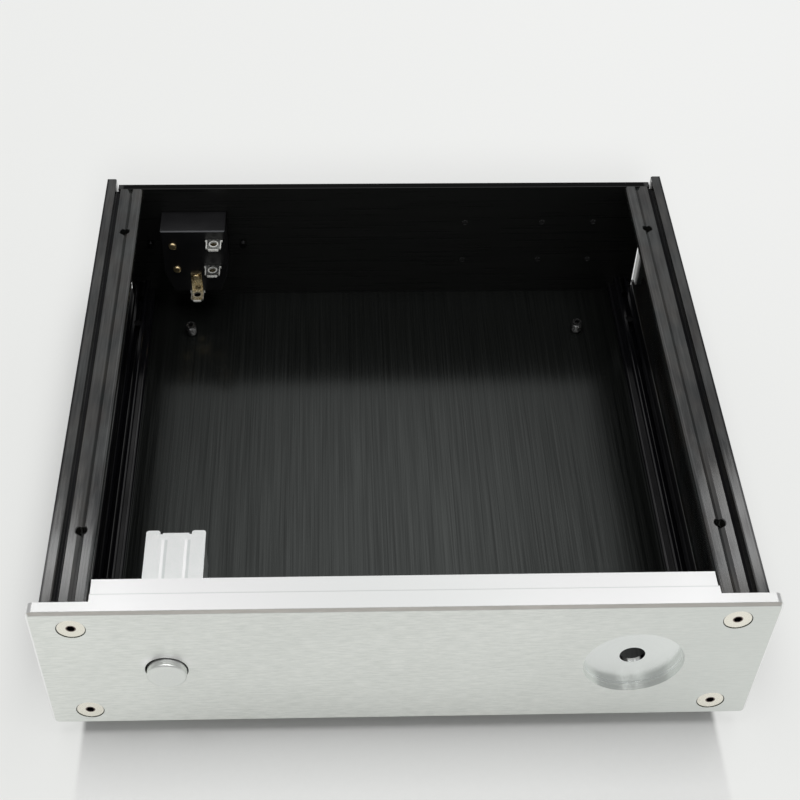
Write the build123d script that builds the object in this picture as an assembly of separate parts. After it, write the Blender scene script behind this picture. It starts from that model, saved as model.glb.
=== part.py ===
"""Open chassis of a small audio amplifier, without its top cover.

An aluminium front panel, two extruded side rails, a back panel and a floor plate are screwed
into a box. The rails carry a C-shaped channel near their top and bottom: the screws of both
panels bite into these channels lengthwise, and the screws of the floor plate and the top cover
cross them. A fused mains inlet with its fuse drawer sits in the back panel, and a push switch
with its button is bolted behind the front panel. Four round feet carry the case.

Case coordinates, in mm: X to the right seen from the front, Y from the front face of the front
panel to the back, Z up from the panel's lower edge. Each solid is moved at the end so that the
origin is the middle of the ground under the feet.
"""
from build123d import *
import os
from math import radians, tan

# Case
case_width = 240.0
case_height = 65.0
case_depth = 218.5
sheet = 3.0                 # thickness of the floor plate, and of the top cover's seat
slide_gap = 0.2             # clearance between pieces that are slid together

# Front panel: an extruded section whose ends are milled back for the rails
panel_thickness = 4.6
strip_depth = 7.6           # the strips above and below the ledges reach back this far
panel_corner = 2.2
panel_chamfer = 1.0
lip_reach = 7.8             # ledge that carries the top cover, behind the strip
lip_thickness = 3.5
lip_fillet = 1.5
strip_setback = 0.5         # the top strip is this much shorter than the ledge below it

# Side rails
rail_inset = 4.2            # the panel overhangs the rail by this much at each end
rail_wall = 3.0
ridge_width = 3.7
groove_width = 1.3          # groove between the ridge and the seat of the cover
groove_depth = 1.2
flange_width = 14.6         # from the outer face of the rail to the flange's free edge
flange_thickness = 3.4
screw_line = 9.4            # from the outer face of the rail to the middle of its channels
edge_break = 0.4            # small bevel along the ridge and the cover's seat
flange_round = 1.2          # rounding of the flange's free edge
line_groove_width = 2.4     # V groove that marks the line of the screws
line_groove_depth = 0.9
channel_height = 8.4        # from the case's upper or lower edge to the middle of a channel
channel_radius = 1.75
channel_width = 6.4
channel_tip = 11.2          # from the case's upper or lower edge to the channel's tips
channel_slot = 2.4
channel_lip = 1.0           # rounding of the channel's tips
rail_fillet = 0.8

# Back panel
back_thickness = 3.0
back_side_gap = 0.6         # between the back panel or floor plate and the ridges
plate_bevel = 0.5           # round the floor plate's underside
output_hole_radius = 1.25
output_hole_rows = (-10.5, 10.5)            # from the middle height of the case
output_hole_columns = (85.3, 52.1, 30.0)    # from the panel's right end

# Screws: thread-forming M4 into the channels, M3 for the inlet and the switch
m4_head = 4.5               # front panel, with a straight rim
m4_countersink = 4.8
m4_rim = 0.5
m4_flat_head = 4.4          # 3 mm plates
m4_flat_countersink = 4.7
m4_clearance = 2.15
m4_length = 14.0            # front panel
m4_short_length = 12.0      # back panel
m4_hex = 2.5
m3_head = 2.8
m3_countersink = 3.2
m3_clearance = 1.6
m3_tapped = 1.25
m4_tapped = 1.65            # floor screws
m4_formed = 1.85            # holes in the upper flanges for the cover's screws
m3_hex = 2.0
seat_gap = 0.05             # between a screw and the hole that it is in
hex_depth = 1.6
cover_screw_front = 35.5    # from the front face to the front screws of cover and floor
cover_screw_rear = 30.0     # from the rear face to the rear ones
floor_screw_end = 0.5       # the floor screws end this far past the channel
hole_bevel = 0.3            # round the holes for the cover's screws

# Feet
foot_radius = 12.0
foot_height = 8.0
foot_web = 3.5
foot_bore = 6.0             # radius of the recess for the screw's head
foot_taper = 4.0            # degrees
foot_inset = 36.0           # from the case's end to the middle of a foot
foot_front = 34.0
foot_rear = 28.5
foot_screw_radius = 2.0
foot_screw_head = 3.6
foot_screw_head_height = 2.4
foot_screw_hex = 2.5
foot_screw_stand = 5.0      # the end stands this far above the floor plate

# Knob place on the front panel
knob_inset = 43.7           # from the panel's right end
knob_recess_radius = 16.8
knob_recess_depth = 3.2
recess_step = 0.2           # the recess is this much narrower near its floor
recess_step_depth = 2.1
control_bore = 4.3

# Power button and push switch
button_inset = 41.9         # from the panel's left end
button_hole = 7.15
button_hole_shift = 0.15    # the hole's middle is this far left of the button's
button_radius = 6.6
button_proud = 2.8
button_length = 9.5
button_wall = 1.3
button_round = 0.8
button_boss = 3.8
button_travel = 3.0
button_clearance = 0.6      # between the pressed button and the top of the switch frame
plunger_width = 3.6
plunger_gap = 0.2           # between the plunger and its shaft
plunger_grip = 5.0          # length of the plunger inside the button's boss
plunger_inside = 7.0        # length of the plunger inside the switch body
switch_width = 20.8
switch_height = 14.2
switch_rear = 52.5          # from the front face to the rear end of the frame
frame_sheet = 0.8
frame_lobe = 1.1            # the side lobes reach this much further than the middle
lobe_width = 4.9
lobe_corner = 1.0
notch_width = 0.9
notch_depth = 0.5
rib_spacing = 8.0
rib_radius = 0.95
rib_front = 14.0
rib_rear = 48.0
ear_width = 5.6
ear_height = 11.0
ear_corner = 2.5
ear_screw_depth = 3.0
ear_screw_head = 2.6
ear_screw_head_height = 1.9
hold_tab_reach = 2.6        # tabs folded in under the switch body
hold_tab_length = 4.0
hold_tab_setback = 4.0      # from the body's front end to the front tabs
hold_tab_pitch = 14.5       # from the front tabs to the rear ones
body_front = 20.0
body_rear_gap = 2.2
body_bevel = 0.8
neck_wall = 1.6             # round the plunger's shaft, in front of the body
neck_length = 3.0
terminal_width = 2.8
terminal_thickness = 0.5
terminal_length = 4.8
terminal_row = 5.0          # from the switch's middle to a row of terminals
terminal_setback = 11.0     # from the body's front end to the first terminals
terminal_pitch = 10.0
terminal_bevel = 0.8

# Fused mains inlet, earth side down
inlet_inset = 39.0          # from the panel's left end
inlet_width = 27.0
inlet_top = 17.1            # from the middle height of the case
inlet_bottom = 16.5
inlet_taper_height = 6.5    # below the middle height, where the lower corners start
inlet_taper = 3.5
inlet_depth = 12.7          # inside the back panel
inlet_bevel = 0.4           # round its inner end
flange_wide = 50.0
flange_high = 38.0
flange_plate = 2.8
flange_corner = 4.0
flange_bevel = 0.6
inlet_screw_spacing = 40.0
inlet_screw_stand = 2.5     # the screws end this far inside the back panel
socket_width = 24.0
socket_height = 16.0
socket_drop = 5.2           # the socket's middle below the middle height of the case
socket_bevel = 4.0
socket_corner = 0.8
socket_floor = 2.3          # wall behind the socket
pin_spacing = 14.0
pin_thickness = 2.0
pin_width = 4.0
pin_length = 14.4
pin_row = 3.7               # line and neutral pins below the middle height
pin_bevel = 0.5
line_rivet_shift = 0.9      # the line rivet sits this far outside its pin
neutral_rivet_shift = 0.4
neutral_tab_rise = 1.6      # the neutral tab sits this far above its rivet
earth_offset = 4.0          # earth pin below the other two
rivet_radius = 1.7
rivet_height = 1.0
rivet_shank = 1.0
plate_margin = 0.6          # of a root plate, on each side of its rivet

# Fuse drawer in the upper part of the inlet
slot_width = 23.8
slot_height = 10.4
slot_rise = 10.0            # the slot's middle above the middle height of the case
slot_end_wall = 1.8
drawer_gap = 0.2
drawer_wall = 1.2
drawer_face = 1.6
drawer_face_lap = 0.8       # the face is this much larger than the slot all round
drawer_face_bevel = 0.3
drawer_tray = 13.2
thumb_notch_radius = 4.0
thumb_notch_depth = 0.8
cradle_thickness = 1.2
cradle_inset = 1.0          # from the fuse's cap to the middle of a cradle
fuse_radius = 2.6
fuse_length = 20.0
fuse_cap_length = 5.0
fuse_cap_wall = 0.2
glass_wall = 0.5
fuse_from_end = 4.9         # from the slot's inner end to the middle of the fuse
fuse_lift = 0.4             # above the drawer's floor
contact_reach = 8.8         # from the fuse's middle to the middle of a contact
contact_thickness = 0.6
contact_width = 3.2
contact_height = 6.0
load_tab_rise = 3.2         # the load tab sits this far above its rivet

# Blade tabs
tab_width = 6.3
tab_thickness = 0.8
tab_length = 7.0
tab_corner = 1.3
tab_hole = 1.5
tab_hole_place = 3.0        # from the inlet's inner face to the middle of the hole
tab_shoulder = 7.2
tab_shoulder_length = 1.2
earth_tab_width = 5.4

# Places that follow from the sizes above
half_width = case_width / 2
rail_out = half_width - rail_inset
wall_in = rail_out - rail_wall
ridge_in = rail_out - ridge_width
groove_in = ridge_in - groove_width
flange_in = rail_out - flange_width
screw_x = rail_out - screw_line
lip_half = flange_in - 2 * slide_gap
lip_rear = strip_depth + lip_reach
seat_top = case_height - sheet
channel_z = (channel_height, case_height - channel_height)
mid_z = case_height / 2
rear_in = case_depth - back_thickness
plate_half = ridge_in - back_side_gap
cross_screw_y = (cover_screw_front, case_depth - cover_screw_rear)
foot_x = half_width - foot_inset
foot_y = (foot_front, case_depth - foot_rear)
knob_x = half_width - knob_inset
button_x = -(half_width - button_inset)
inlet_x = -(half_width - inlet_inset)
inlet_in = rear_in - inlet_depth
inlet_out = case_depth + flange_plate
socket_end = inlet_in + socket_floor
slot_end = inlet_in + slot_end_wall
slot_z = mid_z + slot_rise
fuse_y = slot_end + fuse_from_end
depth_middle = (inlet_out - button_proud) / 2


def box(x0, x1, y0, y1, z0, z1):
    """Block between two corners."""
    middle = Pos((x0 + x1) / 2, (y0 + y1) / 2, (z0 + z1) / 2)
    return middle * Box(abs(x1 - x0), abs(y1 - y0), abs(z1 - z0))


def slab(x0, x1, z0, z1):
    """Rectangle between two corners, for a section seen from the front."""
    return Pos((x0 + x1) / 2, (z0 + z1) / 2) * Rectangle(abs(x1 - x0), abs(z1 - z0))


def along_depth(section, y0, y1):
    """Carry a section seen from the front from one depth to another."""
    return extrude(Plane.XZ.offset(-y0) * section, amount=-(y1 - y0))


def rod(x, z, radius, y0, y1):
    """Round rod along the depth."""
    return along_depth(Pos(x, z) * Circle(radius), y0, y1)


def post(x, y, radius, z0, z1):
    """Round rod that stands upright."""
    return Pos(x, y, (z0 + z1) / 2) * Cylinder(radius, z1 - z0)


def mirrored(part):
    """The same piece on the other side of the case."""
    return part.mirror(Plane.YZ)


def join(pieces):
    """Group of separate solids that share one node."""
    return Compound(children=[solid for piece in pieces for solid in piece.solids()])


def front_turn(x, y, z):
    """Place of a screw whose head faces the front."""
    return Pos(x, y, z) * Rot(90, 0, 0)


def rear_turn(x, y, z):
    """Place of a screw whose head faces the rear."""
    return Pos(x, y, z) * Rot(-90, 0, 0)


def under_turn(x, y, z):
    """Place of a screw whose head faces the ground."""
    return Pos(x, y, z) * Rot(180, 0, 0)


def turned(points):
    """Body of revolution about Z from a half outline of radius and height."""
    return revolve(make_face(Plane.XZ * Polyline(*points, close=True)), Axis.Z)


def countersunk_screw(head, shank, length, sink, hex_size, rim=0):
    """Countersunk screw with a hex socket, its length along -Z from the surface it sits in.

    The head's cone lies in a countersink of the radius sink, so its top is a little below.
    """
    top = -(sink - head - seat_gap)
    outline = [
        (0, top),
        (head, top),
        (shank, top - rim - (head - shank)),
        (shank, -length),
        (0, -length),
    ]
    if rim:
        outline.insert(2, (head, top - rim))
    socket = extrude(
        Plane.XY.offset(top) * RegularPolygon(hex_size / 2, 6, major_radius=False),
        amount=-hex_depth,
    )
    return turned(outline) - socket


def countersink(sink, clearance, depth, rim=0):
    """Hole for a countersunk screw, along -Z from the surface."""
    outline = [
        (0, 1),
        (sink, 1),
        (sink, -rim),
        (clearance, clearance - sink - rim),
        (clearance, -depth - 1),
        (0, -depth - 1),
    ]
    return turned(outline)


def pan_screw(head, head_height, shank, length, hex_size):
    """Screw with a low round head above Z = 0 and its shank along -Z."""
    crown = head_height * 0.45
    outline = Polyline((head, crown), (head, 0), (shank, 0), (shank, -length), (0, -length))
    edge = outline + Line((0, -length), (0, head_height))
    dome = TangentArc((0, head_height), (head, crown), tangent=(1, 0))
    body = revolve(make_face(Plane.XZ * (edge + dome)), Axis.Z)
    socket = extrude(
        Plane.XY.offset(head_height) * RegularPolygon(hex_size / 2, 6, major_radius=False),
        amount=-head_height * 0.6,
    )
    return body - socket


def panel_section():
    """Section of the front panel's extrusion, as (depth, height)."""
    low_lip = sheet + lip_thickness
    high_lip = case_height - low_lip
    outline = Polyline(
        (0, 0),
        (strip_depth, 0),
        (strip_depth, sheet),
        (lip_rear, sheet),
        (lip_rear, low_lip),
        (panel_thickness, low_lip),
        (panel_thickness, high_lip),
        (lip_rear, high_lip),
        (lip_rear, seat_top),
        (strip_depth, seat_top),
        (strip_depth, case_height),
        (0, case_height),
        close=True,
    )
    section = make_face(outline)
    inner = section.vertices().filter_by(lambda v: abs(v.X - panel_thickness) < 0.01)
    return fillet(inner, lip_fillet)


def front_panel():
    """Front panel with its screw holes, knob recess, button hole and tapped holes."""
    panel = extrude(Plane.YZ * panel_section(), amount=half_width, both=True)
    for side in (-1, 1):
        end = side * (half_width + 1)
        panel -= box(side * lip_half, end, panel_thickness, lip_rear + 1, -1, case_height + 1)
        strip_end = side * (lip_half - strip_setback)
        for edge_z in (-1, seat_top):
            panel -= box(strip_end, end, panel_thickness, strip_depth + 1, edge_z, edge_z + sheet + 1)
    corners = panel.edges().filter_by(Axis.Y).filter_by(lambda e: abs(e.center().X) > rail_out)
    panel = fillet(corners, panel_corner)
    panel = chamfer(panel.faces().sort_by(Axis.Y)[0].edges(), panel_chamfer)
    for x in (-screw_x, screw_x):
        for z in channel_z:
            hole = countersink(m4_countersink, m4_clearance, panel_thickness, m4_rim)
            panel -= front_turn(x, 0, z) * hole
    panel -= rod(button_x - button_hole_shift, mid_z, button_hole, -1, panel_thickness + 1)
    panel -= rod(knob_x, mid_z, knob_recess_radius, -1, recess_step_depth)
    panel -= rod(knob_x, mid_z, knob_recess_radius - recess_step, 0, knob_recess_depth)
    panel -= rod(knob_x, mid_z, control_bore, 0, panel_thickness + 1)
    for x in ear_screw_x():
        panel -= rod(x, mid_z, m3_tapped, panel_thickness - ear_screw_depth, panel_thickness + 1)
    return panel


def rail_section():
    """Section of the right side rail, seen from the front."""
    section = slab(wall_in, rail_out, 0, case_height)
    for top in (False, True):
        section += rail_edge(top)
    corners = section.vertices().filter_by(
        lambda v: abs(v.X - wall_in) < 0.01 and seat_underside(False) - 0.01 < v.Y < seat_underside(True) + 0.01
    )
    return fillet(corners, rail_fillet)


def seat_underside(top):
    """Height of the flange's inner face."""
    low = sheet + flange_thickness
    return case_height - low if top else low


def rail_edge(top):
    """Flange, ridge and screw channel at the rail's lower edge, or turned over for the upper."""
    inner = sheet + flange_thickness
    flange = slab(flange_in, rail_out, sheet, inner)
    edge = fillet(flange.vertices().filter_by(lambda v: v.X < ridge_in), flange_round)
    ridge = slab(ridge_in, rail_out, 0, inner)
    edge += chamfer(ridge.vertices().filter_by(lambda v: v.Y < sheet), edge_break)
    edge += channel_boss(inner)
    edge -= slab(groove_in, ridge_in, sheet, sheet + groove_depth)
    edge -= v_groove(groove_in, 2 * edge_break, edge_break)
    edge -= v_groove(screw_x, line_groove_width, line_groove_depth)
    edge -= Pos(screw_x, channel_height) * Circle(channel_radius)
    edge -= slab(
        screw_x - channel_slot / 2, screw_x + channel_slot / 2, channel_height, channel_tip + 1
    )
    if top:
        edge = Pos(0, case_height) * edge.mirror(Plane.XZ)
    return edge


def v_groove(middle, width, depth):
    """Triangle cut into the flange's outer face."""
    half = width / 2
    corners = [(middle - half, sheet), (middle + half, sheet), (middle, sheet + depth)]
    return make_face(Polyline(*corners, close=True))


def channel_boss(inner):
    """Wall round a screw channel, with its two tips rounded."""
    boss = slab(
        screw_x - channel_width / 2, screw_x + channel_width / 2, inner - 1, channel_tip
    )
    tips = boss.vertices().filter_by(lambda v: v.Y > inner)
    return fillet(tips, channel_lip)


def right_side_rail():
    """Extruded rail: the flanges end at the back panel, the wall and ridges go on."""
    rail = along_depth(rail_section(), panel_thickness, case_depth)
    rail -= box(flange_in - 1, ridge_in, rear_in, case_depth + 1, -1, case_height + 1)
    for y in cross_screw_y:
        rail -= post(screw_x, y, m4_tapped, -1, channel_tip + 1)
        rail -= post(screw_x, y, m4_formed, case_height - channel_tip - 1, case_height + 1)
        rail -= Pos(screw_x, y, seat_top) * hole_edge(m4_formed + hole_bevel)
    return rail


def hole_edge(radius):
    """Cone that bevels the edge of a hole, its base at Z = 0."""
    return turned([(0, 0), (radius, 0), (0, -radius)])


def floor_plate():
    """Plate under the rails' lower flanges, with countersunk holes and the holes of the feet."""
    plate = box(-plate_half, plate_half, strip_depth + slide_gap, case_depth, 0, sheet)
    plate = chamfer(plate.faces().sort_by(Axis.Z)[0].edges(), plate_bevel)
    for x in (-screw_x, screw_x):
        for y in cross_screw_y:
            hole = countersink(m4_flat_countersink, m4_clearance, sheet)
            plate -= under_turn(x, y, 0) * hole
    for x in (-foot_x, foot_x):
        for y in foot_y:
            plate -= post(x, y, foot_screw_radius + seat_gap, -1, sheet + 1)
    return plate


def inlet_outline(grow):
    """Outline of the inlet's body seen from the front, larger by grow on every side."""
    half = inlet_width / 2 + grow
    low = mid_z - inlet_bottom - grow
    outline = Polyline(
        (inlet_x - half, mid_z + inlet_top + grow),
        (inlet_x + half, mid_z + inlet_top + grow),
        (inlet_x + half, mid_z - inlet_taper_height),
        (inlet_x + half - inlet_taper, low),
        (inlet_x - half + inlet_taper, low),
        (inlet_x - half, mid_z - inlet_taper_height),
        close=True,
    )
    return make_face(outline)


def back_panel():
    """Back panel with the inlet's cut-out, its screw holes and six holes for outputs."""
    panel = box(-plate_half, plate_half, rear_in, case_depth, sheet, seat_top)
    panel -= along_depth(inlet_outline(slide_gap), rear_in - 1, case_depth + 1)
    for x in (-screw_x, screw_x):
        for z in channel_z:
            hole = countersink(m4_flat_countersink, m4_clearance, back_thickness)
            panel -= rear_turn(x, case_depth, z) * hole
    for x in inlet_screw_x():
        panel -= rod(x, mid_z, m3_tapped, rear_in - 1, case_depth + 1)
    for column in output_hole_columns:
        for row in output_hole_rows:
            x = half_width - column
            panel -= rod(x, mid_z + row, output_hole_radius, rear_in - 1, case_depth + 1)
    return panel


def front_panel_screws():
    """Four countersunk screws through the front panel into the rails' channels."""
    screw = countersunk_screw(
        m4_head, channel_radius - seat_gap, m4_length, m4_countersink, m4_hex, m4_rim
    )
    return join([front_turn(x, 0, z) * screw for x in (-screw_x, screw_x) for z in channel_z])


def back_panel_screws():
    """Four countersunk screws through the back panel into the rails' channels."""
    screw = countersunk_screw(
        m4_flat_head, channel_radius - seat_gap, m4_short_length, m4_flat_countersink, m4_hex
    )
    places = [(x, case_depth, z) for x in (-screw_x, screw_x) for z in channel_z]
    return join([rear_turn(*place) * screw for place in places])


def floor_plate_screws():
    """Four countersunk screws from below, through the floor plate and across the channels."""
    length = channel_height + channel_radius + floor_screw_end
    screw = countersunk_screw(
        m4_flat_head, m4_tapped - seat_gap, length, m4_flat_countersink, m4_hex
    )
    return join([under_turn(x, y, 0) * screw for x in (-screw_x, screw_x) for y in cross_screw_y])


def foot(x, y):
    """Round foot, a little wider at the floor plate, with a recess for the screw's head."""
    outline = [
        (foot_screw_radius + seat_gap, 0),
        (foot_radius, 0),
        (foot_radius - tan(radians(foot_taper)) * foot_height, -foot_height),
        (foot_bore, -foot_height),
        (foot_bore, -foot_web),
        (foot_screw_radius + seat_gap, -foot_web),
    ]
    return Pos(x, y, 0) * turned(outline)


def foot_screws():
    """Four screws that hold the feet, their ends standing above the floor plate."""
    length = foot_web + sheet + foot_screw_stand
    screw = pan_screw(
        foot_screw_head, foot_screw_head_height, foot_screw_radius, length, foot_screw_hex
    )
    return join([under_turn(x, y, -foot_web) * screw for x in (-foot_x, foot_x) for y in foot_y])


def ear_screw_x():
    """Places of the two screws beside the button that hold the switch."""
    reach = switch_width / 2 + ear_width / 2
    return (button_x - reach, button_x + reach)


def switch_plan():
    """Top of the switch frame seen from above: a middle with two rounded lobes at the rear.

    It starts behind the pressed button, which is a little higher than the frame.
    """
    half = switch_width / 2
    front = button_length - button_proud + button_travel + button_clearance
    rear = switch_rear - frame_lobe
    plan = Pos(button_x, (front + rear) / 2) * Rectangle(switch_width, rear - front)
    for side in (-1, 1):
        lobe_x = button_x + side * (half - lobe_width / 2)
        lobe = Pos(lobe_x, switch_rear - lobe_width) * Rectangle(lobe_width, 2 * lobe_width)
        plan += fillet(lobe.vertices().group_by(Axis.Y)[-1], lobe_corner)
        notch_x = button_x + side * (half - lobe_width - notch_width / 2)
        plan -= Pos(notch_x, rear) * Rectangle(notch_width, 2 * notch_depth)
    return plan


def switch_frame():
    """Folded sheet frame: a top with two pressed ribs, two sides, ears and holding tabs."""
    half = switch_width / 2
    top = mid_z + switch_height / 2
    low = mid_z - switch_height / 2
    frame = extrude(Plane.XY.offset(top - frame_sheet) * switch_plan(), amount=frame_sheet)
    for side in (-1, 1):
        outer = button_x + side * half
        inner = outer - side * frame_sheet
        frame += box(outer, inner, panel_thickness, switch_rear - lobe_width, low, top)
        ear_end = outer + side * ear_width
        ear = box(
            inner,
            ear_end,
            panel_thickness,
            panel_thickness + frame_sheet,
            mid_z - ear_height / 2,
            mid_z + ear_height / 2,
        )
        free_edge = ear.edges().filter_by(Axis.Y).filter_by(lambda e: abs(e.center().X - ear_end) < 0.01)
        frame += fillet(free_edge, ear_corner)
        rib = Pos(button_x + side * rib_spacing / 2, 0, top) * rib_bar()
        frame += rib - box(-half_width, half_width, 0, case_depth, 0, top - frame_sheet / 2)
        front_tab = body_front + hold_tab_setback
        for y in (front_tab, front_tab + hold_tab_pitch):
            tab_end = outer - side * hold_tab_reach
            frame += box(outer, tab_end, y, y + hold_tab_length, low - frame_sheet, low)
    for x in ear_screw_x():
        frame -= rod(x, mid_z, m3_clearance, 0, panel_thickness + 2 * frame_sheet)
    return frame


def rib_bar():
    """Half-round rib along the depth, with rounded ends."""
    bar = rod(0, 0, rib_radius, rib_front, rib_rear)
    for y in (rib_front, rib_rear):
        bar += Pos(0, y, 0) * Sphere(rib_radius)
    return bar


def switch_body():
    """Moulded body of the switch, with the shaft that its plunger runs in."""
    half = switch_width / 2 - frame_sheet - slide_gap
    low = mid_z - switch_height / 2
    top = mid_z + switch_height / 2 - frame_sheet - slide_gap / 2
    rear = switch_rear - frame_lobe - body_rear_gap
    body = box(button_x - half, button_x + half, body_front, rear, low, top)
    body = chamfer(body.edges().filter_by(Axis.Z), body_bevel)
    neck_front = body_front - neck_length
    neck = plunger_width + 2 * neck_wall
    body += along_depth(Pos(button_x, mid_z) * Rectangle(neck, neck), neck_front, body_front + 1)
    shaft = plunger_width + 2 * plunger_gap
    shaft_end = plunger_rear() + button_travel + 1
    body -= along_depth(Pos(button_x, mid_z) * Rectangle(shaft, shaft), neck_front - 1, shaft_end)
    return body


def plunger_rear():
    """Rear end of the plunger, at rest."""
    return body_front + plunger_inside


def boss_front():
    """Where the plunger ends inside the button's boss."""
    return button_length - button_proud - plunger_grip


def switch_plunger():
    """Square plunger, pressed into the button's boss."""
    section = Pos(button_x, mid_z) * Rectangle(plunger_width, plunger_width)
    plunger = along_depth(section, boss_front(), plunger_rear())
    return chamfer(plunger.faces().sort_by(Axis.Y)[-1].edges(), pin_bevel)


def power_button():
    """Hollow round cap with a rounded front edge and a square socket for the plunger."""
    front = -button_proud
    rear = button_length - button_proud
    cap = rod(button_x, mid_z, button_radius, front, rear)
    cap = fillet(cap.faces().sort_by(Axis.Y)[0].edges(), button_round)
    skirt = Circle(button_radius - button_wall) - Circle(button_boss)
    cap -= along_depth(Pos(button_x, mid_z) * skirt, front + button_wall + button_round, rear + 1)
    socket = Rectangle(plunger_width + seat_gap, plunger_width + seat_gap)
    cap -= along_depth(Pos(button_x, mid_z) * socket, boss_front() - seat_gap, rear + 1)
    return cap


def switch_terminals():
    """Four flat pins under the switch body, in two rows."""
    low = mid_z - switch_height / 2
    pins = []
    first = body_front + terminal_setback
    for x in (button_x - terminal_row, button_x + terminal_row):
        for y in (first, first + terminal_pitch):
            pin = box(
                x - terminal_thickness / 2,
                x + terminal_thickness / 2,
                y - terminal_width / 2,
                y + terminal_width / 2,
                low - terminal_length,
                low,
            )
            foot_edges = pin.edges().filter_by(Axis.X).group_by(Axis.Z)[0]
            pins.append(chamfer(foot_edges, terminal_bevel))
    return join(pins)


def switch_screws():
    """Two screws that hold the switch frame's ears on the front panel."""
    length = frame_sheet + ear_screw_depth - slide_gap
    screw = pan_screw(
        ear_screw_head, ear_screw_head_height, m3_tapped - seat_gap, length, m3_hex
    )
    places = [rear_turn(x, panel_thickness + frame_sheet, mid_z) for x in ear_screw_x()]
    return join([place * screw for place in places])


def inlet_screw_x():
    """Places of the inlet's two fixing screws."""
    return (inlet_x - inlet_screw_spacing / 2, inlet_x + inlet_screw_spacing / 2)


def socket_middle():
    """Height of the middle of the socket."""
    return mid_z - socket_drop


def socket_outline():
    """Opening of the socket seen from the front, bevelled on its earth side."""
    half = socket_width / 2
    low = socket_middle() - socket_height / 2
    high = socket_middle() + socket_height / 2
    outline = Polyline(
        (inlet_x - half, high),
        (inlet_x + half, high),
        (inlet_x + half, low + socket_bevel + 1),
        (inlet_x + half - socket_bevel, low),
        (inlet_x - half + socket_bevel, low),
        (inlet_x - half, low + socket_bevel + 1),
        close=True,
    )
    opening = make_face(outline)
    return fillet(opening.vertices(), socket_corner)


def slot_outline(grow):
    """Opening of the fuse slot, larger by grow on every side."""
    return Pos(inlet_x, slot_z) * Rectangle(slot_width + 2 * grow, slot_height + 2 * grow)


def flat_pin(x, z, y0, y1):
    """Blade along the depth, standing upright."""
    return along_depth(Pos(x, z) * Rectangle(pin_thickness, pin_width), y0, y1)


def pin_places():
    """Places of the line, neutral and earth pins."""
    row = mid_z - pin_row
    return {
        "line": (inlet_x - pin_spacing / 2, row),
        "neutral": (inlet_x + pin_spacing / 2, row),
        "earth": (inlet_x, row - earth_offset),
    }


def rivet_places():
    """Places where the tails of the three pins go through the wall behind the socket."""
    places = pin_places()
    line_x, line_z = places["line"]
    neutral_x, neutral_z = places["neutral"]
    return {
        "line": (line_x - line_rivet_shift, line_z),
        "neutral": (neutral_x + neutral_rivet_shift, neutral_z),
        "earth": places["earth"],
    }


def contact_places():
    """Places of the two fuse contacts: supply on the left, load on the right."""
    return {"supply": inlet_x - contact_reach, "load": inlet_x + contact_reach}


def fuse_z():
    """Height of the middle of the fuse, lying on the drawer's floor."""
    return slot_z - slot_height / 2 + drawer_gap + drawer_wall + fuse_radius + fuse_lift


def inlet_housing():
    """Moulded housing: flange outside, body through the panel, socket and fuse slot."""
    plate = Pos(inlet_x, mid_z) * RectangleRounded(flange_wide, flange_high, flange_corner)
    housing = along_depth(plate, case_depth, inlet_out)
    housing = chamfer(housing.faces().sort_by(Axis.Y)[-1].edges(), flange_bevel)
    body = along_depth(inlet_outline(0), inlet_in, case_depth)
    housing += chamfer(body.faces().sort_by(Axis.Y)[0].edges(), inlet_bevel)
    housing -= along_depth(socket_outline(), socket_end, inlet_out + 1)
    housing -= along_depth(slot_outline(0), slot_end, inlet_out + 1)
    housing -= along_depth(
        slot_outline(drawer_face_lap), inlet_out - drawer_face, inlet_out + 1
    )
    for x in inlet_screw_x():
        hole = countersink(m3_countersink, m3_clearance, flange_plate)
        housing -= rear_turn(x, inlet_out, mid_z) * hole
    for x, z in rivet_places().values():
        housing -= rod(x, z, rivet_shank + seat_gap, inlet_in - 1, socket_end + 1)
    for x in contact_places().values():
        housing -= rod(x, fuse_z(), rivet_shank + seat_gap, inlet_in - 1, slot_end + 1)
    return housing


def riveted_pin(name):
    """Blade in the socket whose round tail goes through the wall behind it."""
    x, z = pin_places()[name]
    tail_x, tail_z = rivet_places()[name]
    pin = flat_pin(x, z, socket_end, socket_end + pin_length)
    pin = chamfer(pin.faces().sort_by(Axis.Y)[-1].edges(), pin_bevel)
    return pin + rod(tail_x, tail_z, rivet_shank, inlet_in, socket_end)


def rivet_head(x, z):
    """Low domed head on the inner face of the inlet."""
    head = rod(x, z, rivet_radius, inlet_in - rivet_height, inlet_in)
    return fillet(head.faces().sort_by(Axis.Y)[0].edges(), rivet_height * 0.7)


def blade_tab(x, z, width):
    """Horizontal blade with shoulders at its root, bevelled corners and a hole."""
    blade = Pos(x, inlet_in - tab_length / 2) * Rectangle(width, tab_length)
    blade = chamfer(blade.vertices().group_by(Axis.Y)[0], tab_corner)
    shoulder = Pos(x, inlet_in - tab_shoulder_length / 2) * Rectangle(
        width + tab_shoulder - tab_width, tab_shoulder_length
    )
    hole = Pos(x, inlet_in - tab_hole_place) * Circle(tab_hole)
    plan = blade + shoulder - hole
    return extrude(Plane.XY.offset(z - tab_thickness / 2) * plan, amount=tab_thickness)


def line_pin():
    """Line pin, riveted over on the inner face."""
    return riveted_pin("line") + rivet_head(*rivet_places()["line"])


def neutral_pin():
    """Neutral pin with its blade tab inside the case."""
    x, z = rivet_places()["neutral"]
    tab_z = z + neutral_tab_rise
    return riveted_pin("neutral") + root_plate(x, z, tab_z) + blade_tab(x, tab_z, tab_width)


def root_plate(x, z, tab_z):
    """Plate flat on the inner face, from below a rivet to the root of its tab."""
    low = min(z - rivet_radius, tab_z)
    high = max(z + rivet_radius, tab_z + tab_thickness / 2)
    half = rivet_radius + plate_margin
    return box(x - half, x + half, inlet_in - tab_thickness, inlet_in, low, high)


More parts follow.
